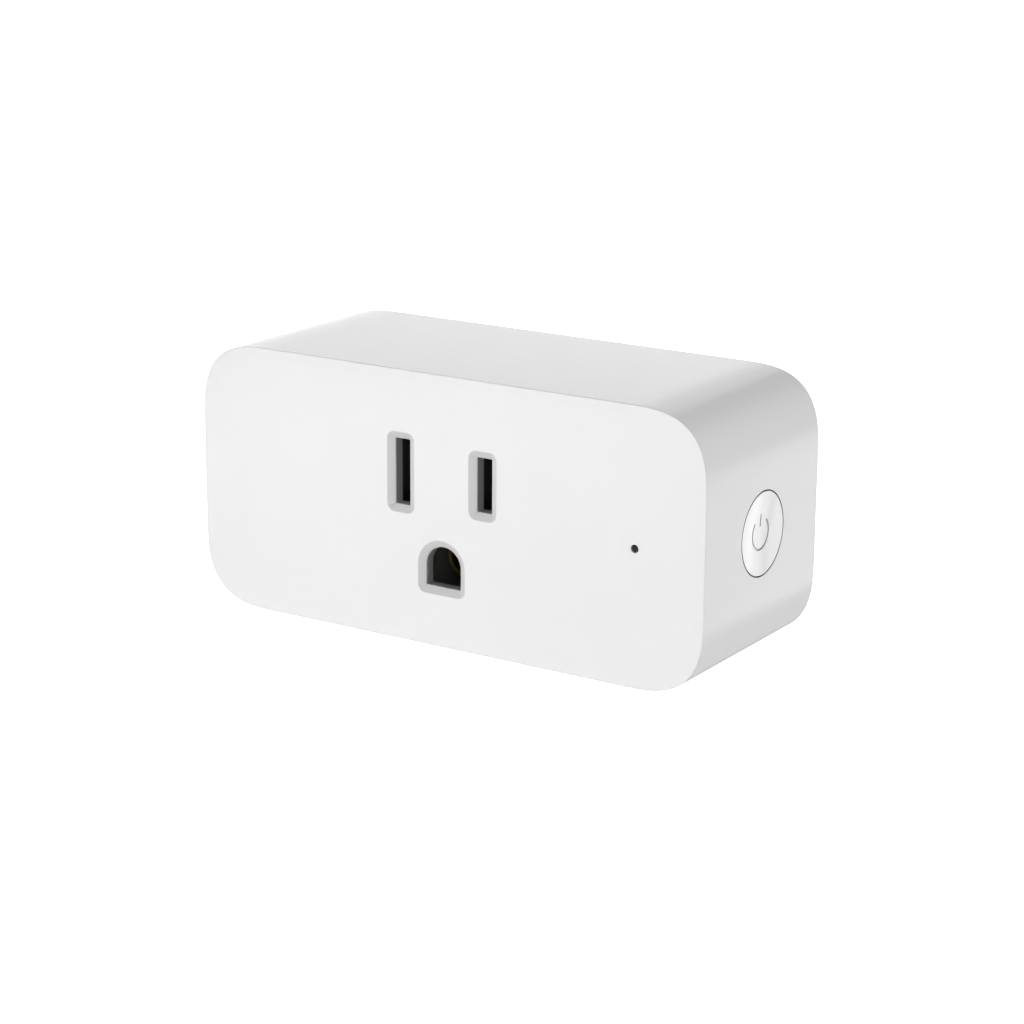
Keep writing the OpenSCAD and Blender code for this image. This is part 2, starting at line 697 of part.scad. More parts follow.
// End caps, and leads bent down to the board
module fuse_caps() color("silver") for (s = [-1, 1]) {
    x = fuse_at[0];
    bend_x = x + s * 6.6;
    cap = [x + s * 3.42, x + s * 4.9];
    lead = [x + s * 4.8, bend_x];
    rod_x(at(fuse_d), fuse_at[1], 1.8, min(cap), max(cap));
    rod_x(at(fuse_d), fuse_at[1], lead_r, min(lead), max(lead));
    rod_y(bend_x, fuse_at[1], lead_r, fuse_d, lead_end);
    translate([bend_x, at(fuse_d), fuse_at[1]]) sphere(lead_r + 0.05);
}

module inductor_core() color([0.2, 0.2, 0.21]) {
    rod_y(inductor_at[0], inductor_at[1], 4.2, 12.4, 13.6);
    rod_y(inductor_at[0], inductor_at[1], 2.2, 13.5, 21);
    rod_y(inductor_at[0], inductor_at[1], 4.2, 20.9, 22.2);
    leads(8, 2, 22.1);
}

module inductor_winding() color("chocolate") difference() {
    rod_y(inductor_at[0], inductor_at[1], 3.8, 13.65, 20.85);
    rod_y(inductor_at[0], inductor_at[1], 2.25, 13, 21);
}

// ---------------------------------------------------------------- surface-mounted parts

// Body on the board's rear, with feet along its two long sides
module chip_package(x, z, w, h, t, feet, pitch) {
    block([x - w / 2, at(pcb_rear + 0.12), z - h / 2], [x + w / 2, at(pcb_rear + t), z + h / 2]);
    for (s = [-1, 1], i = [0 : feet - 1])
        post_box(x + (i - (feet - 1) / 2) * pitch, z + s * (h / 2 + 0.45), 0.42, 1,
                 pcb_rear + 0.02, pcb_rear + 0.22);
}

module rectifier() color([0.1, 0.1, 0.1]) chip_package(20, -10.5, 4.7, 3.9, 2.4, 2, 2.54);
module converter_ic() color([0.1, 0.1, 0.1]) chip_package(19, 0.5, 4.9, 3.9, 1.6, 4, 1.27);
module regulator() color([0.1, 0.1, 0.1]) chip_package(23.5, 10, 6.5, 3.5, 1.7, 3, 2.3);
module relay_driver() color([0.1, 0.1, 0.1]) chip_package(-23, -2.5, 2.9, 1.4, 1.1, 2, 1.9);

module chips(places, w, h, t) for (p = places) post_box(p[0], p[1], w, h, pcb_rear + 0.02, pcb_rear + t);

module smd_resistors() color([0.12, 0.12, 0.13])
    chips(concat([for (i = [-1.5 : 1.5]) [wifi_x - 1.1, 3 * i]],
                 [for (i = [0 : 2]) [14, -4.4 + 2.8 * i]],
                 [for (i = [0 : 2]) [-26 + 2.4 * i, -6.6]]), 1.25, 2, 0.55);

module smd_capacitors() color("tan")
    chips(concat([for (i = [-1 : 1]) [wifi_x + 3.5, 3 * i]],
                 [[14, 4], [wifi_x, -9.5], [-26.2, 0.4]]), 1.25, 2, 0.9);

// ---------------------------------------------------------------- radio board

wifi_front = 4;
wifi_half = 7.5;
shield_t = 0.2;
shield_h = 2.1;

module wifi_pcb() color([0.03, 0.1, 0.3])
    block([wifi_x, at(wifi_front), -wifi_half], [wifi_x + wifi_t, at(pcb_front - 0.1), wifi_half]);

module wifi_shield() color("silver") difference() {
    block([wifi_x - shield_h, at(9.4), -6.6], [wifi_x - 0.02, at(20.6), 6.6]);
    block([wifi_x - shield_h + shield_t, at(9.4 + shield_t), -6.6 + shield_t],
          [wifi_x + 1, at(20.6 - shield_t), 6.6 - shield_t]);
}

module wifi_chips() color([0.08, 0.08, 0.08]) {
    block([wifi_x - 0.9, at(12), -3.5], [wifi_x - 0.02, at(17), 1.5]);
    block([wifi_x - 1.1, at(12.5), 2.8], [wifi_x - 0.02, at(16.5), 5.8]);
    block([wifi_x - 0.8, at(18), -2], [wifi_x - 0.02, at(19.6), 0.5]);
}

// Printed aerial: a strip that runs to and fro across the free end of the board
module wifi_antenna() color("gold") {
    t = 0.08;
    strip = 0.5;
    legs = 7;
    step = 1.7;
    first = -legs * step / 2 + step / 2;
    depths = [wifi_front + 0.6, wifi_front + 4.2];
    for (i = [0 : legs - 1])
        block([wifi_x - t, at(depths[0]), first + i * step - strip / 2],
              [wifi_x, at(depths[1]), first + i * step + strip / 2]);
    for (i = [0 : legs - 2]) let (d = depths[i % 2])
        block([wifi_x - t, at(d - (i % 2 == 0 ? 0 : strip)), first + i * step - strip / 2],
              [wifi_x, at(d + (i % 2 == 0 ? strip : 0)), first + (i + 1) * step + strip / 2]);
}

module wifi_header() color([0.1, 0.1, 0.1]) difference() {
    block([wifi_x + wifi_t + 0.02, at(19.8), -6], [wifi_x + wifi_t + 2, at(22.3), 6]);
    for (z = wifi_pin_zs) rod_y(wifi_pin_x, z, lead_r + 0.02, 19, 23);
}

module wifi_pins() color("gold") for (z = wifi_pin_zs) rod_y(wifi_pin_x, z, lead_r, 18.2, lead_end);

// ---------------------------------------------------------------- output

front_shell();
rear_cover();
cover_screws();
power_button();
light_pipe();
status_led();
socket_insert();
contact_cover();
neutral_contact();
line_contact();
ground_contact();
neutral_blade();
line_blade();
ground_pin();
blade_clamp();
clamp_screws();
neutral_busbar();
load_busbar();
line_busbar();
ground_link();
main_pcb();
switch_pcb();
tact_base();
tact_cover();
tact_dome();
tact_plunger();
tact_terminals();
relay_case();
relay_base();
relay_yoke();
relay_core();
relay_bobbin();
relay_coil();
relay_armature();
relay_contact_spring();
relay_fixed_contact();
relay_coil_pins();
bulk_capacitor();
output_capacitor();
varistor();
fuse();
fuse_caps();
inductor_core();
inductor_winding();
rectifier();
converter_ic();
regulator();
relay_driver();
smd_resistors();
smd_capacitors();
wifi_pcb();
wifi_shield();
wifi_chips();
wifi_antenna();
wifi_header();
wifi_pins();
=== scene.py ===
"""The looks of the smart plug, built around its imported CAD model."""

import json
import math

import bmesh
import bpy
from mathutils import Matrix, Vector


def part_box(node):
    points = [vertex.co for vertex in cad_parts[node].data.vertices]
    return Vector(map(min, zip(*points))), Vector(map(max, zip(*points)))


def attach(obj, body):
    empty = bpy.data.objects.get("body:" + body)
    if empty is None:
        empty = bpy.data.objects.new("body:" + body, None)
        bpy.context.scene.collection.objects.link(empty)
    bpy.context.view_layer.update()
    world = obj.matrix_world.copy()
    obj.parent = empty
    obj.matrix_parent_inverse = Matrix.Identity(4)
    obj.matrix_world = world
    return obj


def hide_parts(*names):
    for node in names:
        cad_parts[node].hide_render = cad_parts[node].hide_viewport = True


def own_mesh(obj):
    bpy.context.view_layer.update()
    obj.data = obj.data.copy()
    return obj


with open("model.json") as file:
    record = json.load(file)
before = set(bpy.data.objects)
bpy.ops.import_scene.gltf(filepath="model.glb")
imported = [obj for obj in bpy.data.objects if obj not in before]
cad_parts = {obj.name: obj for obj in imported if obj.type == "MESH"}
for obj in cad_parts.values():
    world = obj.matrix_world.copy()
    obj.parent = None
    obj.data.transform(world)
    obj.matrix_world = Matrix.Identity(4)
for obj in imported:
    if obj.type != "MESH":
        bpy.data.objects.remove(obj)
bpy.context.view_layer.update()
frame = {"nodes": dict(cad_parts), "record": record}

MM = 0.001

# ------------------------------------------------------------------ sizes, in millimetres
# A depth is measured behind the front face, towards the wall.

SHELL_LOW, SHELL_HIGH = (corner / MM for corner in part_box("front_shell"))
FRONT = SHELL_LOW.y            # Y of the front face; the wall face is at 0
HALF_W = SHELL_HIGH.x
HALF_H = SHELL_HIGH.z
DEPTH = -FRONT
MIDDLE_Y = FRONT / 2

CORNER_REACH = 11.3            # how far each rounded corner reaches along the sides
CORNER_POWER = 2.96            # superellipse power of the corners
CORNER_STEPS = 40
EDGE_RADIUS = 0.1              # of the body's front and rear edges
WALL = 2.0
FACE = 2.2                     # thickness of the front wall
COVER = 2.2                    # thickness of the rear cover
REAR = DEPTH - COVER           # depth of the cover's inner face
RIM = 1.0                      # wall left round the rear cover
FIT = 0.1                      # clearance round parts that drop in
SEAT = 0.05                    # gap between faces that meet
FLUSH = 0.02                   # how far a flush face lies below its neighbour
SINK = 0.1                     # how far a joined part sinks into the next
PAST = 1.0                     # how far a cutter runs past what it cuts
NEAR = 0.01                    # a point this close to a surface is on it
HAIR = 0.0002                  # points closer than this are one point

POST_X = HALF_W - 6.85         # screw posts at the corners
POST_Z = HALF_H - 6.7
POST_R = 2.75
POST_TIP_R = 2.2               # of the tips, which pass through the board
PILOT_R = 1.1
PILOT_LENGTH = 11.0            # from the wall face
PCB_FRONT = 22.4               # depths of the main board's two faces
PCB_REAR = 24.0

BLADE_PITCH = 12.7
BLADE_Z = 4.5
GROUND_Z = BLADE_Z - 11.9
SLOT_W = 2.25
NEUTRAL_H = 8.8
LINE_H = 7.2
GROUND_W = 5.34
GROUND_FLAT = 2.75             # from the ground opening's centre down to its flat
OPENING_CORNER = 0.12
DISH_W = 1.0                   # width of the dished border round each opening
DISH_DEPTH = 0.55
LIP = 0.15                     # straight edge under each dished border
NOSE_WALL = 1.1                # wall of the insert's nose in each opening

INSERT_SIZE = 24.0             # the insert is as wide as it is high
INSERT_Z = -0.6
INSERT_FRONT = 1.2
INSERT_REAR = 20.4
CHAMBER_FRONT = 2.05           # depth at which the insert's chambers begin

BLADE_T = 1.52
NEUTRAL_BLADE = 7.9
LINE_BLADE = 6.35
BLADE_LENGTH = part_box("neutral_blade")[1].y / MM
BLADE_HOLE = 11.9              # from the wall face to the middle of the cross hole
BLADE_HOLE_R = 1.6
FLANGE = 1.2                   # thickness of each prong's flange behind the cover
TAIL_END = 21.6                # depth of the inner end of each prong
PIN_R = 2.39
PIN_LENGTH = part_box("ground_pin")[1].y / MM
PIN_COLLAR_R = 2.74

BUTTON_Y = MIDDLE_Y
BUTTON_R = 5.48
BUTTON_HOLE_R = 5.63
BUTTON_DISH = 0.42             # depth of the finger dish
BUTTON_RIM = 0.1               # rounding of the cap's edge
BUTTON_FLANGE_R = 6.0
COLLAR_R = 7.15                # guide round the button's flange
COLLAR_LENGTH = 2.6
STEM_END = 34.25               # X of the stem's end, at the push switch

LED_X = HALF_W - 9.95
LED_R = 0.55
LED_BORE_R = 1.5
LED_TUBE_R = 2.3
LED_TUBE_END = 6.0             # depth of the tube's open end

DOME_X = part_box("tact_dome")[0].x / MM
DOME_R = 2.3
DOME_RISE = 0.5
DOME_T = 0.1

TRACK_PITCH = 1.2
WIRE_PITCH = 0.2


# ------------------------------------------------------------------ outlines, as (x, z) points

BEND_STEPS = 8                 # straight lengths in a small bend


def body_outline(inset):
    """The body's outline, drawn in by inset on every side."""
    width, height, reach = HALF_W - inset, HALF_H - inset, CORNER_REACH - inset
    points = []
    for quarter in range(4):
        for step in range(CORNER_STEPS + 1):
            turn = step if quarter % 2 == 0 else CORNER_STEPS - step
            angle = math.pi / 2 * turn / CORNER_STEPS
            along = reach * max(math.cos(angle), 0.0) ** (2 / CORNER_POWER)
            up = reach * max(math.sin(angle), 0.0) ** (2 / CORNER_POWER)
            side = 1 if quarter in (0, 3) else -1
            top = 1 if quarter < 2 else -1
            points.append((side * (width - reach + along), top * (height - reach + up)))
    return points


def arc(cx, cz, radius, start, end, steps):
    """Points on an arc, from start to end degrees."""
    angles = (math.radians(start + (end - start) * i / steps) for i in range(steps + 1))
    return [(cx + radius * math.cos(a), cz + radius * math.sin(a)) for a in angles]


def rounded_box(cx, cz, width, height, radius):
    """A rectangle with rounded corners."""
    x, z = width / 2 - radius, height / 2 - radius
    points = []
    for i, (sx, sz) in enumerate(((1, 1), (-1, 1), (-1, -1), (1, -1))):
        points += arc(cx + sx * x, cz + sz * z, radius, 90 * i, 90 * i + 90, BEND_STEPS)
    return points


def ground_shape(grow):
    """A round-topped opening with a flat bottom, every edge moved outwards by grow."""
    half = GROUND_W / 2 + grow
    low = GROUND_Z - GROUND_FLAT - grow
    radius = grow + OPENING_CORNER
    points = arc(0, GROUND_Z, half, 0, 180, 4 * BEND_STEPS)
    points += arc(-half + radius, low + radius, radius, 180, 270, BEND_STEPS)
    points += arc(half - radius, low + radius, radius, 270, 360, BEND_STEPS)
    return points


def slot_shape(x, height, grow):
    """A blade slot, every edge moved outwards by grow."""
    return rounded_box(x, BLADE_Z, SLOT_W + 2 * grow, height + 2 * grow, grow + OPENING_CORNER)


# ------------------------------------------------------------------ meshes

def new_mesh(name, vertices, faces):
    """An object whose vertices are given in millimetres, in the part's own frame."""
    mesh = bpy.data.meshes.new(name)
    mesh.from_pydata([tuple(c * MM for c in v) for v in vertices], [], faces)
    edit(mesh, lambda bm: bmesh.ops.recalc_face_normals(bm, faces=bm.faces))
    piece = bpy.data.objects.new(name, mesh)
    bpy.context.scene.collection.objects.link(piece)
    return piece


def edit(mesh, change):
    """Opens a mesh, lets change(bm) work on it, and writes it back."""
    bm = bmesh.new()
    bm.from_mesh(mesh)
    change(bm)
    bm.to_mesh(mesh)
    bm.free()


def loft(name, rings):
    """A closed solid through rings with the same number of points, capped at both ends."""
    count = len(rings[0])
    vertices = [point for ring in rings for point in ring]
    faces = [tuple(range(count)), tuple(range(len(vertices) - count, len(vertices)))]
    for r in range(len(rings) - 1):
        for i in range(count):
            j = (i + 1) % count
            faces.append((r * count + i, r * count + j, (r + 1) * count + j, (r + 1) * count + i))
    return new_mesh(name, vertices, faces)


def at_depth(shape, depth):
    """An (x, z) outline placed at a depth behind the front face."""
    return [(x, FRONT + depth, z) for x, z in shape]


def prism(name, shape, depth0, depth1):
    """A straight solid of one outline between two depths."""
    return loft(name, [at_depth(shape, depth0), at_depth(shape, depth1)])


def slab(name, outline, depth0, depth1, radius0, radius1):
    """A slab whose two rims are rounded; outline(inset) gives its shape drawn in by inset."""
    steps = 5
    rings = []
    for depth, radius, inward in ((depth0, radius0, 1), (depth1, radius1, -1)):
        turns = [math.pi / 2 * i / steps for i in range(steps + 1)] if radius else [math.pi / 2]
        ends = [(radius * (1 - math.sin(t)), depth + inward * radius * (1 - math.cos(t))) for t in turns]
        rings += [at_depth(outline(inset), d) for inset, d in ends[::inward]]
    return loft(name, rings)


def turned(name, profile, place, steps=64):
    """A turned solid: profile is (radius, along) from one pole to the other, and place(a, b, along)
    puts a point in the part."""
    vertices = [place(0, 0, profile[0][1])]
    rings = profile[1:-1]
    for radius, along in rings:
        for i in range(steps):
            angle = 2 * math.pi * i / steps
            vertices.append(place(radius * math.cos(angle), radius * math.sin(angle), along))
    vertices.append(place(0, 0, profile[-1][1]))
    faces = [(0, 1 + i, 1 + (i + 1) % steps) for i in range(steps)]
    for r in range(len(rings) - 1):
        first, second = 1 + r * steps, 1 + (r + 1) * steps
        for i in range(steps):
            j = (i + 1) % steps
            faces.append((first + i, second + i, second + j, first + j))
    last, pole = 1 + (len(rings) - 1) * steps, len(vertices) - 1
    faces += [(last + i, pole, last + (i + 1) % steps) for i in range(steps)]
    return new_mesh(name, vertices, faces)


def along_y(x, z):
    """Places a turned solid on an axis along Y; its profile is in depths behind the front face."""
    return lambda a, b, depth: (x + a, FRONT + depth, z + b)


def along_x(y, z):
    """Places a turned solid on an axis along X."""
    return lambda a, b, x: (x, y + a, z + b)


def rounded(points):
    """A profile whose corners are rounded: each point is (radius, along, fillet)."""
    steps = 4
    done = []
    for i, (u, v, fillet) in enumerate(points):
        if not fillet:
            done.append((u, v))
            continue
        here = Vector((u, v, 0))
        before = (Vector((*points[i - 1][:2], 0)) - here).normalized()
        after = (Vector((*points[i + 1][:2], 0)) - here).normalized()
        half = before.angle(after) / 2
        reach = fillet / math.tan(half)
        centre = here + (before + after).normalized() * fillet / math.sin(half)
        start = (here + before * reach - centre).normalized()
        end = (here + after * reach - centre).normalized()
        arc_points = (centre + start.slerp(end, s / steps) * fillet for s in range(steps + 1))
        done += [(p.x, p.y) for p in arc_points]
    return done


def rod(name, place, radius, start, end, steps=64):
    """A plain round bar, used as a cutter or joined to another piece."""
    return turned(name, [(0, start), (radius, start), (radius, end), (0, end)], place, steps)


def stepped(name, place, first_r, second_r, start, step, end):
    """A round bar that changes its radius at step."""
    profile = [(0, start), (first_r, start), (first_r, step), (second_r, step), (second_r, end), (0, end)]
    return turned(name, profile, place)


def combine(target, others, operation="DIFFERENCE"):
    """Cuts the others from target, or joins them to it, and removes them."""
    for other in others:
        change = target.modifiers.new("change", "BOOLEAN")
        change.operation = operation
        change.solver = "EXACT"
        change.object = other
        apply_modifiers(target)
        weld(target)
        bpy.data.objects.remove(other)


def weld(piece):
    """Merges points that a cut leaves a hair apart, and drops the faces with no area between them."""
    def change(bm):
        bmesh.ops.remove_doubles(bm, verts=bm.verts, dist=HAIR * MM)
        bmesh.ops.dissolve_degenerate(bm, dist=HAIR * MM, edges=bm.edges)

    edit(piece.data, change)


def apply_modifiers(piece):
    """Bakes the piece's modifiers into its mesh."""
    graph = bpy.context.evaluated_depsgraph_get()
    graph.update()
    done = bpy.data.meshes.new_from_object(piece.evaluated_get(graph))
    old = piece.data
    piece.modifiers.clear()
    piece.data = done
    bpy.data.meshes.remove(old)


def soften(piece, pick, width, segments=3):
    """Rounds the edges that pick(a, b, angle) accepts; a and b are an edge's ends in millimetres."""
    def change(bm):
        edges = []
        for edge in bm.edges:
            if len(edge.link_faces) == 2:
                angle = math.degrees(edge.calc_face_angle(0))
                if pick(edge.verts[0].co / MM, edge.verts[1].co / MM, angle):
                    edges.append(edge)
        bmesh.ops.bevel(bm, geom=edges, offset=width * MM, segments=segments, profile=0.5,
                        affect="EDGES", clamp_overlap=False)

    edit(piece.data, change)


def smooth(piece, angle=30):
    """Smooth shading that keeps flats flat and hard edges hard."""
    mesh = piece.data
    mesh.polygons.foreach_set("use_smooth", [True] * len(mesh.polygons))
    mesh.set_sharp_from_angle(angle=math.radians(angle))
    weigh = piece.modifiers.new("weigh", "WEIGHTED_NORMAL")
    weigh.keep_sharp = True
    weigh.weight = 90
    apply_modifiers(piece)


# ------------------------------------------------------------------ materials

NOISE_LOW, NOISE_HIGH = 0.3, 0.7    # the range that a noise mostly stays in
# painted shade: grey for the walls of the narrow gap round the button
GAP_PAINTED_SHADE = (0.12, 0.12, 0.12)
# painted shade: grey for the engraved mark's groove
MARK_PAINTED_SHADE = (0.62, 0.62, 0.62)
CHAMBER_PAINTED_SHADE = (0.08, 0.08, 0.08)  # painted shade: darkens the insert's chambers; its noses, in the openings, keep the paler grey


def do_math(nodes, links, operation, first, second):
    """A Math node on a socket and a second socket or number."""
    node = nodes.new("ShaderNodeMath")
    node.operation = operation
    links.new(first, node.inputs[0])
    if isinstance(second, (int, float)):
        node.inputs[1].default_value = second
    else:
        links.new(second, node.inputs[1])
    return node.outputs[0]


def axes(nodes, links, coordinates):
    """The X, Y and Z sockets of each place in the part's frame."""
    split = nodes.new("ShaderNodeSeparateXYZ")
    links.new(coordinates.outputs["Object"], split.inputs[0])
    return split.outputs


def new_material(name):
    """A material with its nodes, their links and its shader."""
    material = bpy.data.materials.new(name)
    material.use_nodes = True
    nodes, links = material.node_tree.nodes, material.node_tree.links
    shader = next(n for n in nodes if n.type == "BSDF_PRINCIPLED")
    return material, nodes, links, shader


def noise(nodes, links, coordinates, per_mm, detail=2.0):
    """A noise whose features are about 1 / per_mm millimetres across."""
    node = nodes.new("ShaderNodeTexNoise")
    node.inputs["Scale"].default_value = per_mm / MM
    node.inputs["Detail"].default_value = detail
    links.new(coordinates.outputs["Object"], node.inputs["Vector"])
    return node.outputs["Fac"]


def remap(nodes, links, value, low, high):
    """Takes a noise's middle range to low..high."""
    node = nodes.new("ShaderNodeMapRange")
    node.inputs["From Min"].default_value = NOISE_LOW
    node.inputs["From Max"].default_value = NOISE_HIGH
    node.inputs["To Min"].default_value = low
    node.inputs["To Max"].default_value = high
    links.new(value, node.inputs["Value"])
    return node.outputs["Result"]


def shade_colour(nodes, links, value, colour, spread):
    """Colour that wanders a little, lighter and darker, with a noise."""
    ramp = nodes.new("ShaderNodeValToRGB")
    dark, light = ramp.color_ramp.elements
    dark.position = NOISE_LOW
    light.position = NOISE_HIGH
    dark.color = (*[c * (1 - spread) for c in colour], 1)
    light.color = (*[min(c * (1 + spread), 1) for c in colour], 1)
    links.new(value, ramp.inputs["Fac"])
    return ramp.outputs["Color"]


def from_axis(nodes, links, coordinates, direction, point):
    """How far each place is from a point, measured only along the directions that aren't 0."""
    offset = nodes.new("ShaderNodeVectorMath")
    offset.operation = "MULTIPLY_ADD"
    offset.inputs[1].default_value = direction
    offset.inputs[2].default_value = [-d * p * MM for d, p in zip(direction, point)]
    links.new(coordinates.outputs["Object"], offset.inputs[0])
    length = nodes.new("ShaderNodeVectorMath")
    length.operation = "LENGTH"
    links.new(offset.outputs["Vector"], length.inputs[0])
    return length.outputs["Value"]


def in_gap_painted_shade(nodes, links, coordinates, radius):
    """1 on the walls of the narrow gap round the button, from radius outwards, near its mouth, where shade
    is painted in grey.
    """
    over, shallow, deep = 0.02, 0.035, 0.45
    reach = from_axis(nodes, links, coordinates, (0, 1, 1), (0, BUTTON_Y, 0))
    across = axes(nodes, links, coordinates)["X"]
    return all_of(nodes, links, [
        ("GREATER_THAN", reach, radius),
        ("LESS_THAN", reach, BUTTON_HOLE_R + over),
        ("LESS_THAN", across, HALF_W - shallow),
        ("GREATER_THAN", across, HALF_W - deep),
    ])


def in_mark_painted_shade(nodes, links, coordinates):
    """1 in the engraved mark, which is the part of the button's dish cut below its ball surface; the mark's
    grey there is painted shade.
    """
    ball = dish_ball()
    ball_centre = (HALF_W + ball - BUTTON_DISH, BUTTON_Y, 0)
    below, widest, deepest = 0.03, 3, 1
    return all_of(nodes, links, [
        ("GREATER_THAN", from_axis(nodes, links, coordinates, (1, 1, 1), ball_centre), ball + below),
        ("LESS_THAN", from_axis(nodes, links, coordinates, (0, 1, 1), ball_centre), widest),
        ("GREATER_THAN", axes(nodes, links, coordinates)["X"], HALF_W - deepest),
    ])


def in_chamber_painted_shade(nodes, links, coordinates):
    """1 behind the insert's front wall, where shade is painted on."""
    before = 0.01
    depth = axes(nodes, links, coordinates)["Y"]
    return all_of(nodes, links, [("GREATER_THAN", depth, FRONT + CHAMBER_FRONT - before)])


def all_of(nodes, links, tests):
    """1 where every test holds; each is (operation, socket, limit in millimetres)."""
    total = None
    for operation, socket, limit in tests:
        holds = do_math(nodes, links, operation, socket, limit * MM)
        total = do_math(nodes, links, "MULTIPLY", holds, total) if total else holds
    return total


def on_tracks(nodes, links, coordinates):
    """1 on the tracks of a board that stands across the X or Y axis."""
    place = axes(nodes, links, coordinates)
    flat = nodes.new("ShaderNodeCombineXYZ")
    links.new(do_math(nodes, links, "ADD", place["X"], place["Y"]), flat.inputs["X"])
    links.new(place["Z"], flat.inputs["Y"])
    tracks = nodes.new("ShaderNodeTexBrick")
    tracks.inputs["Scale"].default_value = 1 / (TRACK_PITCH * MM)
    tracks.inputs["Mortar Size"].default_value = 0.08
    tracks.inputs["Mortar Smooth"].default_value = 0
    tracks.inputs["Brick Width"].default_value = 3.4
    tracks.inputs["Row Height"].default_value = 0.5
    links.new(flat.outputs["Vector"], tracks.inputs["Vector"])
    return tracks.outputs["Fac"]


def wind(material, pitch):
    """Gives a material turns of wire round an axis along Y, one pitch apart, in millimetres."""
    nodes, links = material.node_tree.nodes, material.node_tree.links
    coordinates = next(n for n in nodes if n.type == "TEX_COORD")
    bump = next(n for n in nodes if n.type == "BUMP")
    turns = nodes.new("ShaderNodeTexWave")
    turns.wave_type = "BANDS"
    turns.bands_direction = "Y"
    turns.wave_profile = "SIN"
    bands_per_metre = 10 / math.pi      # of a wave texture whose scale is 1
    turns.inputs["Scale"].default_value = 1 / (bands_per_metre * pitch * MM)
    links.new(coordinates.outputs["Object"], turns.inputs["Vector"])
    links.new(turns.outputs["Fac"], bump.inputs["Height"])
    bump.inputs["Distance"].default_value = pitch / 3 * MM


def tint(material, mask, colour):
    """Mixes a colour in where mask(nodes, links, coordinates) is 1."""
    nodes, links = material.node_tree.nodes, material.node_tree.links
    shader = next(n for n in nodes if n.type == "BSDF_PRINCIPLED")
    coordinates = next(n for n in nodes if n.type == "TEX_COORD")
    plain = shader.inputs["Base Color"].links[0].from_socket
    mix = nodes.new("ShaderNodeMix")
    mix.data_type = "RGBA"
    colours = [socket for socket in mix.inputs if socket.type == "RGBA"]
    colours[1].default_value = (*colour, 1)
    links.new(plain, colours[0])
    links.new(mask(nodes, links, coordinates), mix.inputs["Factor"])
    mixed = next(socket for socket in mix.outputs if socket.type == "RGBA")
    links.new(mixed, shader.inputs["Base Color"])


def moulded(name, colour, roughness, spread=0.01, grain_height=0.002, rough_spread=0.03, specular=0.5):
    """Moulded plastic: a fine spark-eroded grain, faint flow marks, and roughness that wanders."""
    grain_mm = 0.25
    material, nodes, links, shader = new_material(name)
    coordinates = nodes.new("ShaderNodeTexCoord")
    flow = noise(nodes, links, coordinates, 0.05)
    patches = noise(nodes, links, coordinates, 0.4, 3)
    grain = noise(nodes, links, coordinates, 1 / grain_mm, 1)
    links.new(shade_colour(nodes, links, flow, colour, spread), shader.inputs["Base Color"])
    links.new(remap(nodes, links, patches, roughness - rough_spread, roughness + rough_spread),
              shader.inputs["Roughness"])
    bump = nodes.new("ShaderNodeBump")
    bump.inputs["Strength"].default_value = 0.5
    bump.inputs["Distance"].default_value = grain_height * MM
    links.new(grain, bump.inputs["Height"])
    links.new(bump.outputs["Normal"], shader.inputs["Normal"])
    shader.inputs["IOR"].default_value = 1.5
    shader.inputs["Specular IOR Level"].default_value = specular
    return material


def metal(name, colour, roughness, streak=(1, 1, 1), height=0.001):
    """Metal with tool or rolling marks, stretched by streak."""
    spread, mark_mm = 0.03, 0.3
    material, nodes, links, shader = new_material(name)
    coordinates = nodes.new("ShaderNodeTexCoord")
    stretch = nodes.new("ShaderNodeMapping")
    stretch.inputs["Scale"].default_value = streak
    links.new(coordinates.outputs["Object"], stretch.inputs["Vector"])
    marks = nodes.new("ShaderNodeTexNoise")
    marks.inputs["Scale"].default_value = 1 / (mark_mm * MM)
    marks.inputs["Detail"].default_value = 3
    links.new(stretch.outputs["Vector"], marks.inputs["Vector"])
    tarnish = noise(nodes, links, coordinates, 0.3, 3)
    links.new(shade_colour(nodes, links, tarnish, colour, spread), shader.inputs["Base Color"])
    links.new(remap(nodes, links, marks.outputs["Fac"], roughness * 0.75, roughness * 1.3),
              shader.inputs["Roughness"])
    bump = nodes.new("ShaderNodeBump")
    bump.inputs["Strength"].default_value = 0.4
    bump.inputs["Distance"].default_value = height * MM
    links.new(marks.outputs["Fac"], bump.inputs["Height"])
    links.new(bump.outputs["Normal"], shader.inputs["Normal"])
    shader.inputs["Metallic"].default_value = 1
    return material


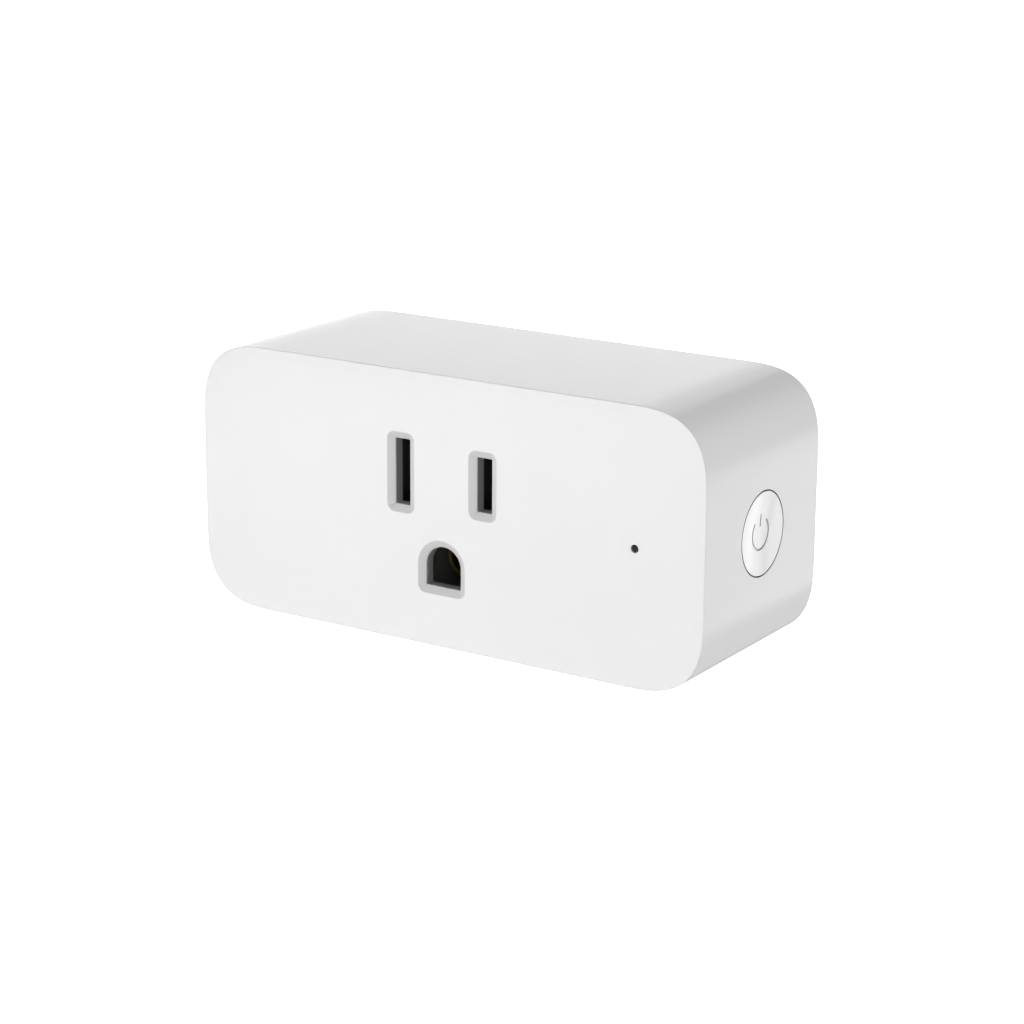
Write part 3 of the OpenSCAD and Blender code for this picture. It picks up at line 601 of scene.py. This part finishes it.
def make_materials():
    """One material for each of the record's slots."""
    return {
        "shell_white": moulded("shell_white", (0.8, 0.8, 0.8), 0.2, rough_spread=0.02),
        "cover_white": moulded("cover_white", (0.84, 0.84, 0.84), 0.5, grain_height=0.006),
        "button_white": moulded("button_white", (0.94, 0.94, 0.94), 0.12, rough_spread=0.02),
        "insert_black": moulded("insert_black", (0.45, 0.45, 0.45), 0.5),
        "black_plastic": moulded("black_plastic", (0.03, 0.03, 0.032), 0.45),
        "pipe_smoke": moulded("pipe_smoke", (0.012, 0.012, 0.013), 0.4, specular=0.1),
        "led_body": moulded("led_body", (0.8, 0.76, 0.62), 0.3),
        "insulator": moulded("insulator", (0.72, 0.7, 0.62), 0.45),
        "circuit_board": moulded("circuit_board", (0.02, 0.16, 0.07), 0.3, spread=0.12),
        "radio_board": moulded("radio_board", (0.01, 0.05, 0.2), 0.3, spread=0.12),
        "switch_black": moulded("switch_black", (0.03, 0.03, 0.03), 0.5),
        "relay_blue": moulded("relay_blue", (0.03, 0.1, 0.42), 0.4),
        "enamelled_wire": metal("enamelled_wire", (0.6, 0.2, 0.07), 0.3, streak=(0.05, 1, 0.05)),
        "can_sleeve": moulded("can_sleeve", (0.02, 0.02, 0.03), 0.3),
        "disc_coating": moulded("disc_coating", (0.05, 0.14, 0.45), 0.4, grain_height=0.02),
        "fuse_ceramic": moulded("fuse_ceramic", (0.8, 0.76, 0.66), 0.4),
        "ferrite": moulded("ferrite", (0.05, 0.05, 0.055), 0.6, grain_height=0.01),
        "chip_epoxy": moulded("chip_epoxy", (0.02, 0.02, 0.02), 0.6, grain_height=0.01),
        "chip_ceramic": moulded("chip_ceramic", (0.42, 0.3, 0.18), 0.5),
        "zinc_steel": metal("zinc_steel", (0.62, 0.63, 0.66), 0.3),
        "plated_brass": metal("plated_brass", (0.68, 0.66, 0.62), 0.22, streak=(1, 0.06, 1)),
        "contact_brass": metal("contact_brass", (0.4, 0.29, 0.14), 0.4, streak=(1, 0.1, 1)),
        "copper": metal("copper", (0.78, 0.42, 0.26), 0.45, height=0.0004),
        "soft_iron": metal("soft_iron", (0.5, 0.52, 0.54), 0.4),
        "gold_plate": metal("gold_plate", (0.85, 0.62, 0.22), 0.25),
    }


def add_details(materials):
    """The tones and patterns that only part of a material's surface has, and the painted shade in the
    button's gap, in its mark and deep in the insert's chambers.
    """
    hole_wall, cap_wall = BUTTON_HOLE_R - 0.02, BUTTON_R - 0.03
    # painted shade on the walls of the gap round the button, on the shell and on the cap
    tint(materials["shell_white"], lambda *at: in_gap_painted_shade(*at, hole_wall), GAP_PAINTED_SHADE)
    tint(materials["button_white"], lambda *at: in_gap_painted_shade(*at, cap_wall), GAP_PAINTED_SHADE)
    # painted shade in the engraved mark
    tint(materials["button_white"], in_mark_painted_shade, MARK_PAINTED_SHADE)
    # painted shade deeper in the insert, behind its front wall
    tint(materials["insert_black"], in_chamber_painted_shade, CHAMBER_PAINTED_SHADE)
    tint(materials["circuit_board"], on_tracks, (0.05, 0.3, 0.12))
    tint(materials["radio_board"], on_tracks, (0.03, 0.12, 0.38))
    wind(materials["enamelled_wire"], WIRE_PITCH)


# ------------------------------------------------------------------ housing

BLADES = ((-BLADE_PITCH / 2, NEUTRAL_H), (BLADE_PITCH / 2, LINE_H))
OPENINGS = [lambda grow, x=x, height=height: slot_shape(x, height, grow) for x, height in BLADES]
OPENINGS.append(ground_shape)
POSTS = [(sx * POST_X, sz * POST_Z) for sx in (1, -1) for sz in (1, -1)]


def dish(shape):
    """The cutter for a dished border: it narrows from DISH_W round the opening to the opening itself."""
    past = 0.3
    wider = DISH_W * (1 + past / DISH_DEPTH)
    return loft("dish", [at_depth(shape(wider), -past), at_depth(shape(0), DISH_DEPTH)])


def make_front_shell():
    """Outer skin with a fine edge radius, openings with dished borders, and fixings inside."""
    shell = slab("front_shell_moulding", body_outline, 0, DEPTH, EDGE_RADIUS, EDGE_RADIUS)
    combine(shell, [
        prism("hollow", body_outline(WALL), FACE, DEPTH + PAST),
        prism("rabbet", body_outline(RIM), REAR, DEPTH + PAST),
    ])
    combine(shell, shell_fixings(), "UNION")
    combine(shell, shell_cuts())
    border_ease, hole_ease = 0.08, 0.03
    soften(shell, lambda a, b, angle: angle > 25 and near_openings(a) and near_openings(b), border_ease)
    soften(shell, lambda a, b, angle: angle > 60 and on_button_hole(a) and on_button_hole(b), hole_ease,
           segments=1)
    smooth(shell)
    return shell


def shell_fixings():
    """What stands inside the shell: stepped screw posts, the button's collar and the indicator's tube."""
    inside_x = HALF_W - WALL
    fixings = [rod("post", along_y(x, z), POST_R, FACE - SINK, PCB_FRONT - SEAT) for x, z in POSTS]
    fixings += [rod("post_tip", along_y(x, z), POST_TIP_R, FACE, REAR - SEAT) for x, z in POSTS]
    fixings.append(rod("collar", along_x(BUTTON_Y, 0), COLLAR_R, inside_x - COLLAR_LENGTH, inside_x + SINK))
    fixings.append(rod("led_tube", along_y(LED_X, 0), LED_TUBE_R, FACE - SINK, LED_TUBE_END))
    return fixings


def shell_cuts():
    """The holes for the button, indicator and screws, and the openings with their borders."""
    inside_x = HALF_W - WALL
    play, pocket_corner = 0.15, 0.2
    pocket = rounded_box(0, INSERT_Z, INSERT_SIZE + 2 * FIT, INSERT_SIZE + 2 * FIT, pocket_corner)
    cuts = [
        rod("collar_bore", along_x(BUTTON_Y, 0), BUTTON_FLANGE_R + play,
            inside_x - COLLAR_LENGTH - PAST, inside_x),
        rod("button_hole", along_x(BUTTON_Y, 0), BUTTON_HOLE_R, inside_x - PAST, HALF_W + PAST,
            steps=128),
        stepped("led_hole", along_y(LED_X, 0), LED_R, LED_BORE_R, -PAST, FACE, LED_TUBE_END + PAST),
        prism("insert_pocket", pocket, INSERT_FRONT, FACE + PAST),
    ]
    cuts += [rod("pilot", along_y(x, z), PILOT_R, DEPTH - PILOT_LENGTH, DEPTH) for x, z in POSTS]
    for shape in OPENINGS:
        cuts.append(prism("opening", shape(0), -PAST, FACE + PAST))
        cuts.append(prism("nose_pocket", shape(NOSE_WALL + FIT / 2), DISH_DEPTH + LIP, FACE + PAST))
        cuts.append(dish(shape))
    return cuts


def near_openings(point):
    """True on the front face and the dished borders of the outlet."""
    return point.y < FRONT + DISH_DEPTH + SEAT and abs(point.x) < INSERT_SIZE / 2


def on_button_hole(point):
    """True on the rim of the button hole in the side's outer face."""
    off_axis = math.hypot(point.y - BUTTON_Y, point.z)
    return point.x > HALF_W - NEAR and abs(off_axis - BUTTON_HOLE_R) < NEAR


def make_rear_cover():
    """Flat cover let into the shell's rim, with screw recesses and cut-outs for the prongs."""
    rim_radius, skirt_wall, rim_ease = 0.25, 1.2, 0.12
    boss_x, boss_z, boss_r = 9.4, -8.6, 2
    cover = slab("rear_cover_moulding", lambda inset: body_outline(RIM + FIT + inset), REAR, DEPTH,
                 0, rim_radius)
    skirt = prism("skirt", body_outline(WALL + FIT), PCB_REAR + SEAT, REAR + SINK)
    combine(skirt, [prism("skirt_hollow", body_outline(WALL + FIT + skirt_wall), PCB_REAR - PAST, REAR)])
    bosses = [rod("boss", along_y(side * boss_x, boss_z), boss_r, REAR - FLANGE, REAR + SINK)
              for side in (1, -1)]
    combine(cover, [skirt] + bosses, "UNION")
    combine(cover, cover_cuts())
    soften(cover, lambda a, b, angle: angle > 60 and min(a.y, b.y) > -NEAR, rim_ease)
    smooth(cover)
    return cover


def cover_cuts():
    """The screw holes with their recesses, and the holes for the pin and the two blades."""
    screw_r, recess_r, recess_depth, hole_corner = 1.25, 2.4, 1.3, 0.2
    front, back = REAR - PAST, DEPTH + PAST
    cuts = [stepped("screw_hole", along_y(x, z), screw_r, recess_r, front, DEPTH - recess_depth, back)
            for x, z in POSTS]
    cuts.append(rod("pin_hole", along_y(0, GROUND_Z), PIN_COLLAR_R + SEAT, front, back))
    for (x, _), width in zip(BLADES, (NEUTRAL_BLADE, LINE_BLADE)):
        hole = rounded_box(x, BLADE_Z, BLADE_T + FIT, width + FIT, hole_corner)
        cuts.append(prism("blade_hole", hole, front, back))
    return cuts


def make_cover_screws():
    """Four pan-head screws with cross recesses."""
    top = DEPTH - 0.15
    head_r, head_t, shank_r, length, point_r = 2.1, 1.1, 1.05, 9.6, 0.5
    under, end = top - head_t, top - length
    profile = rounded([(0, top, 0), (head_r * 0.86, top, 0.35), (head_r, under, 0.08), (shank_r, under, 0),
                       (shank_r, end + point_r, 0.1), (point_r, end, 0), (0, end, 0)])
    screws = []
    for x, z in POSTS:
        screw = turned("cover_screw", profile, along_y(x, z))
        combine(screw, cross_recess(x, z, top))
        screws.append(screw)
    combine(screws[0], screws[1:], "UNION")
    screws[0].name = "cover_screws_turned"
    smooth(screws[0], angle=35)
    return screws[0]


def cross_recess(x, z, top):
    """The two tapering slots of a cross recess in a screw's head; each end is (over the top, scale)."""
    long, short, corner = 2.31, 0.46, 0.1
    ends = ((0.2, 1.1), (-0.66, 0.75))
    return [loft("recess", [at_depth(rounded_box(x, z, w * scale, h * scale, corner), top + over)
                            for over, scale in ends])
            for w, h in ((long, short), (short, long))]


# ------------------------------------------------------------------ button and indicator

def dish_ball():
    """Radius of the ball that the button's finger dish is part of."""
    reach = BUTTON_R - BUTTON_RIM
    return (reach ** 2 + BUTTON_DISH ** 2) / (2 * BUTTON_DISH)


def make_power_button():
    """Dished cap with an engraved on/off mark, and a guide flange and stem behind."""
    ball = dish_ball()
    ball_x = HALF_W + ball - BUTTON_DISH
    dish_steps, rim_steps = 24, 6
    radii = [(BUTTON_R - BUTTON_RIM) * i / dish_steps for i in range(1, dish_steps + 1)]
    turns = [math.pi / 2 * i / rim_steps for i in range(1, rim_steps + 1)]
    profile = [(0, HALF_W - BUTTON_DISH)]
    profile += [(r, ball_x - math.sqrt(ball ** 2 - r ** 2)) for r in radii]
    profile += [(BUTTON_R - BUTTON_RIM * (1 - math.sin(t)), HALF_W - BUTTON_RIM * (1 - math.cos(t)))
                for t in turns]
    profile += button_back()
    button = turned("power_button_cap", profile, along_x(BUTTON_Y, 0), steps=144)
    combine(button, mark_cutters())
    smooth(button, angle=40)
    return button


def button_back():
    """The profile behind the cap: a flange with a ring-shaped hollow, and the stem."""
    flange = HALF_W - WALL
    rim, floor = flange - 1.2, flange - 0.1
    hollow_r, stem_r, ease, stem_ease = 4.4, 1.5, 0.1, 0.15
    return rounded([(BUTTON_R, flange, 0), (BUTTON_FLANGE_R, flange - SEAT, ease),
                    (BUTTON_FLANGE_R, rim, ease), (hollow_r, rim, ease), (hollow_r, floor, 0),
                    (stem_r, floor, 0), (stem_r, STEM_END, stem_ease), (0, STEM_END, 0)])


def mark_cutters():
    """The generic on/off mark: a ring open at the top, and a short stroke in the opening."""
    ring_r, half_w, gap, deep = 2.12, 0.15, 47, 0.14
    stroke_low, stroke_high = 1.0, 2.4
    start, end, steps = 90 + gap, 450 - gap, 72
    ring = arc(0, 0, ring_r + half_w, start, end, steps)
    ring += round_end(ring_r, end, half_w, 0)
    ring += arc(0, 0, ring_r - half_w, end, start, steps)
    ring += round_end(ring_r, start, half_w, 180)
    stroke = arc(0, stroke_high, half_w, 0, 180, BEND_STEPS)
    stroke += arc(0, stroke_low, half_w, 180, 360, BEND_STEPS)
    depths = (HALF_W - BUTTON_DISH - deep, HALF_W + PAST)
    return [loft("mark", [[(x, BUTTON_Y + across, up) for across, up in shape] for x in depths])
            for shape in (ring, stroke)]


def round_end(ring_r, angle, half_w, turn):
    """The inner points of a half circle that closes an arc's stroke at an angle."""
    x, z = ring_r * math.cos(math.radians(angle)), ring_r * math.sin(math.radians(angle))
    return arc(x, z, half_w, angle + turn, angle + turn + 180, BEND_STEPS)[1:-1]


def make_light_pipe():
    """Smoked pin with a domed tip just inside the face, and a stepped body behind."""
    tip_r, body_r, foot_r = LED_R - 0.03, 1.4, 0.9
    tip, body, foot, end = 0.2, FACE + FLUSH, 7.6, 8.8
    dome, ease = 0.2, 0.1
    profile = rounded([(0, tip, 0), (tip_r, tip, dome), (tip_r, body, 0), (body_r, body, ease),
                       (body_r, foot, ease), (foot_r, foot, 0), (foot_r, end, ease), (0, end, 0)])
    pipe = turned("light_pipe_moulding", profile, along_y(LED_X, 0), steps=48)
    smooth(pipe, angle=40)
    return pipe


# ------------------------------------------------------------------ outlet and prongs

def make_socket_insert():
    """Block whose noses line the openings, hollowed for the contacts."""
    chamber_w, chamber_over, ground_chamber_r = 6.1, 1.6, 3.6
    core_w, core_h, core_z, core_wall = 3.4, 9, BLADE_Z + 1, 2
    corner, core_corner = 0.3, 0.4
    outline = rounded_box(0, INSERT_Z, INSERT_SIZE, INSERT_SIZE, corner)
    insert = prism("socket_insert_moulding", outline, INSERT_FRONT, INSERT_REAR)
    combine(insert, [prism("nose", shape(NOSE_WALL), DISH_DEPTH + LIP, INSERT_FRONT + SINK)
                     for shape in OPENINGS], "UNION")
    cuts = [prism("opening", shape(0), 0, CHAMBER_FRONT + SINK) for shape in OPENINGS]
    for x, height in BLADES:
        chamber = rounded_box(x, BLADE_Z, chamber_w, height + chamber_over, corner)
        cuts.append(prism("chamber", chamber, CHAMBER_FRONT, INSERT_REAR + PAST))
    cuts.append(rod("ground_chamber", along_y(0, GROUND_Z), ground_chamber_r, CHAMBER_FRONT,
                    INSERT_REAR + PAST))
    core = rounded_box(0, core_z, core_w, core_h, core_corner)
    cuts.append(prism("core", core, CHAMBER_FRONT + core_wall, INSERT_REAR + PAST))
    combine(insert, cuts)
    smooth(insert)
    return insert


def make_blade(name, x, width):
    """Flat stamped blade: eased edges, a bevelled tip, a cross hole, and a flange and tail inside."""
    corner, hole_ease, through = 0.18, 0.1, 2
    # each ring: how far past the wall face, share of the thickness, how far each narrow edge draws in
    rings = ((-COVER - FLANGE, 1, 0), (BLADE_LENGTH - 1.4, 1, 0), (BLADE_LENGTH - 0.99, 0.824, 0),
             (BLADE_LENGTH - 0.12, 0.45, 0.87), (BLADE_LENGTH, 0.3, 1.05))
    blade = loft(name, [at_depth(rounded_box(x, BLADE_Z, BLADE_T * thin, width - 2 * narrow, corner * thin),
                                 y + DEPTH) for y, thin, narrow in rings])
    combine(blade, blade_root(x, width), "UNION")
    combine(blade, [rod("hole", along_x(BLADE_HOLE, BLADE_Z), BLADE_HOLE_R, x - through, x + through,
                        steps=48)])
    soften(blade, lambda a, b, angle: angle > 60 and on_hole(a) and on_hole(b), hole_ease,
           segments=2)
    smooth(blade)
    return blade


def blade_root(x, width):
    """The flange that the cover traps, and the tail that the busbar meets."""
    over_t, over_w, corner = 1.6, 0.6, 0.3
    tail_t, tail_w, tail_z, tail_corner = 1, 3, BLADE_Z - 1, 0.1
    flange_shape = rounded_box(x, BLADE_Z, BLADE_T + over_t, width + over_w, corner)
    tail_shape = rounded_box(x, tail_z, tail_t, tail_w, tail_corner)
    return [prism("flange", flange_shape, REAR - FLANGE, REAR - FLUSH),
            prism("tail", tail_shape, TAIL_END, REAR - FLANGE + SINK)]


def on_hole(point):
    """True on the rim of a blade's cross hole."""
    return abs(math.hypot(point.y - BLADE_HOLE, point.z - BLADE_Z) - BLADE_HOLE_R) < NEAR


def make_neutral_blade():
    """The wider blade."""
    return make_blade("neutral_blade_stamping", -BLADE_PITCH / 2, NEUTRAL_BLADE)


def make_line_blade():
    """The narrower blade, on the button side."""
    return make_blade("line_blade_stamping", BLADE_PITCH / 2, LINE_BLADE)


def make_ground_pin():
    """Round pin with a domed end, a collar flush with the cover, and a flange and tail inside."""
    tail_r, flange_r, ease, end_ease, dome_steps = 1.2, 3.8, 0.1, 0.15, 12
    flange, cover_face, tip = REAR - FLUSH, DEPTH - FLUSH, DEPTH + PIN_LENGTH
    profile = rounded([(0, TAIL_END, 0), (tail_r, TAIL_END, end_ease), (tail_r, REAR - FLANGE, 0),
                       (flange_r, REAR - FLANGE, ease), (flange_r, flange, ease), (PIN_COLLAR_R, flange, 0),
                       (PIN_COLLAR_R, cover_face, end_ease), (PIN_R, cover_face, 0)])
    profile += [(PIN_R * math.cos(t), tip - PIN_R + PIN_R * math.sin(t))
                for t in (math.pi / 2 * i / dome_steps for i in range(dome_steps))]
    profile.append((0, tip))
    pin = turned("ground_pin_turned", profile, along_y(0, GROUND_Z), steps=72)
    smooth(pin, angle=40)
    return pin


def make_tact_dome():
    """Snap dome under the push switch's plunger."""
    steps = 12
    ball = (DOME_R ** 2 + DOME_RISE ** 2) / (2 * DOME_RISE)
    top = DOME_X + DOME_RISE - ball
    angles = [math.asin(DOME_R / ball) * i / steps for i in range(steps + 1)]
    profile = [(ball * math.sin(t), top + ball * math.cos(t)) for t in angles]
    inner = ball - DOME_T
    profile += [(inner * math.sin(t), top + inner * math.cos(t)) for t in reversed(angles)]
    dome = turned("tact_dome_leaf", profile, along_x(BUTTON_Y, 0), steps=48)
    smooth(dome, angle=60)
    return dome


# ------------------------------------------------------------------ stage

LIGHTS = (                     # name, azimuth, elevation, size in metres, power in watts
    ("side_low", 90, -25, 0.5, 5.55),
    ("front_low", 330, -25, 0.5, 4.42),
    ("front_left", 330, 0, 0.5, 2.72),
    ("front_right", 30, 0, 0.5, 2.0),
    ("overhead", 0, 90, 0.5, 2.48),
    ("back_left", 210, 0, 0.5, 0.69),
    ("back_high", 210, 25, 0.5, 0.34),
    ("side_gloss", 135, -15, 0.25, 0.29),
    ("edge_gloss", 155, -15, 0.25, 0.2),
    ("button_gloss", 165, -15, 0.25, 0.13),
)


def make_camera():
    """The photographed view: its direction, roll, distance and focal length."""
    azimuth, elevation, roll = (math.radians(a) for a in (32.824, 15.757, 0.351))
    distance = 360.996
    target = Vector((1.264, MIDDLE_Y, -3.12))
    back = Vector((math.sin(azimuth) * math.cos(elevation),
                   -math.cos(azimuth) * math.cos(elevation), math.sin(elevation)))
    level = (-back).cross(Vector((0, 0, 1))).normalized()
    up = level.cross(-back)
    right = level * math.cos(roll) + up * math.sin(roll)
    up = up * math.cos(roll) - level * math.sin(roll)
    data = bpy.data.cameras.new("camera")
    data.sensor_width = 36
    data.lens = 95.15              # fitted to the plug's outline in the photo, as is its place
    data.clip_start = 0.01
    data.clip_end = 20
    camera = bpy.data.objects.new("camera", data)
    facing = Matrix((right, up, back)).transposed().to_4x4()
    camera.matrix_world = Matrix.Translation((target + back * distance) * MM) @ facing
    bpy.context.scene.collection.objects.link(camera)
    bpy.context.scene.camera = camera


def add_light(name, azimuth, elevation, size, power):
    """A square soft box 1 m away. Azimuth 0 is in front of the plug and 90 on its button side."""
    a, e = math.radians(azimuth), math.radians(elevation)
    out = Vector((math.sin(a) * math.cos(e), -math.cos(a) * math.cos(e), math.sin(e)))
    data = bpy.data.lights.new(name, "AREA")
    data.shape = "SQUARE"
    data.size = size
    data.energy = power
    light = bpy.data.objects.new(name, data)
    light.location = Vector((0, MIDDLE_Y * MM, 0)) + out
    light.rotation_euler = (-out).to_track_quat("-Z", "Y").to_euler()
    light.visible_camera = False
    bpy.context.scene.collection.objects.link(light)


def make_world(glows):
    """Soft light that is brightest along each glow's axis; a glow is (axis, strength)."""
    world = bpy.data.worlds.new("studio")
    world.use_nodes = True
    nodes, links = world.node_tree.nodes, world.node_tree.links
    split = nodes.new("ShaderNodeSeparateXYZ")
    links.new(nodes.new("ShaderNodeTexCoord").outputs["Generated"], split.inputs[0])
    total = None
    for axis, strength in glows:
        facing = do_math(nodes, links, "MAXIMUM", split.outputs[axis], 0)
        lobe = do_math(nodes, links, "POWER", facing, 2)
        lobe = do_math(nodes, links, "MULTIPLY", lobe, strength)
        total = do_math(nodes, links, "ADD", lobe, total) if total else lobe
    background = nodes["Background"]
    background.inputs["Color"].default_value = (1, 1, 1, 1)
    links.new(total, background.inputs["Strength"])
    bpy.context.scene.world = world


def make_sweep():
    """A white floor that the plug lies on, curving up far behind into a white wall all round."""
    reach, height, rise, steps, below = 2500, 4000, 600, 12, 0.05
    profile = [(0, 0)] + [(reach + rise * math.sin(t), rise * (1 - math.cos(t)))
                          for t in (math.pi / 2 * i / steps for i in range(steps + 1))]
    profile += [(reach + rise, height), (0, height)]
    floor_z = -HALF_H - below
    sweep = turned("floor", profile, lambda a, b, up: (a, b, up + floor_z), steps=96)
    smooth(sweep)
    material, nodes, links, shader = new_material("floor")
    shader.inputs["Base Color"].default_value = (0.9, 0.9, 0.9, 1)
    shader.inputs["Roughness"].default_value = 0.9
    shader.inputs["Emission Color"].default_value = (1, 1, 1, 1)
    shader.inputs["Emission Strength"].default_value = 1.0
    clear_from_below(nodes, links, shader)
    sweep.data.materials.append(material)
    sweep.visible_diffuse = False
    sweep.visible_glossy = False
    sweep.visible_transmission = False
    sweep.visible_shadow = False


def clear_from_below(nodes, links, shader):
    """Lets a view from under the floor see the plug through it; the sweep's faces point outwards."""
    mix = nodes.new("ShaderNodeMixShader")
    links.new(nodes.new("ShaderNodeNewGeometry").outputs["Backfacing"], mix.inputs["Fac"])
    links.new(nodes.new("ShaderNodeBsdfTransparent").outputs["BSDF"], mix.inputs[1])
    links.new(shader.outputs["BSDF"], mix.inputs[2])
    output = next(n for n in nodes if n.type == "OUTPUT_MATERIAL")
    links.new(mix.outputs["Shader"], output.inputs["Surface"])


def make_stage():
    """A plain white studio with soft panels; its floor and wall glow, so no shadow shows on them."""
    make_sweep()
    make_world([("Y", 0.9), ("Z", 0.44)])
    for light in LIGHTS:
        add_light(*light)
    bpy.context.scene.view_settings.view_transform = "Standard"


# ------------------------------------------------------------------ assembly

make_camera()
make_stage()
materials = make_materials()
add_details(materials)
slot_of = {part["node"]: part["material_slot"] for part in frame["record"]["subparts"]}
for node, obj in frame["nodes"].items():
    obj.data.materials.clear()
    obj.data.materials.append(materials[slot_of[node]])

for make, body, node in (
    (make_front_shell, "housing", "front_shell"),
    (make_rear_cover, "housing", "rear_cover"),
    (make_cover_screws, "housing", "cover_screws"),
    (make_light_pipe, "housing", "light_pipe"),
    (make_socket_insert, "housing", "socket_insert"),
    (make_neutral_blade, "housing", "neutral_blade"),
    (make_line_blade, "housing", "line_blade"),
    (make_ground_pin, "housing", "ground_pin"),
    (make_tact_dome, "housing", "tact_dome"),
    (make_power_button, "button", "power_button"),
):
    piece = make()
    piece.data.materials.append(materials[slot_of[node]])
    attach(piece, body)
    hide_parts(node)
    if node == "tact_dome":
        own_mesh(piece)
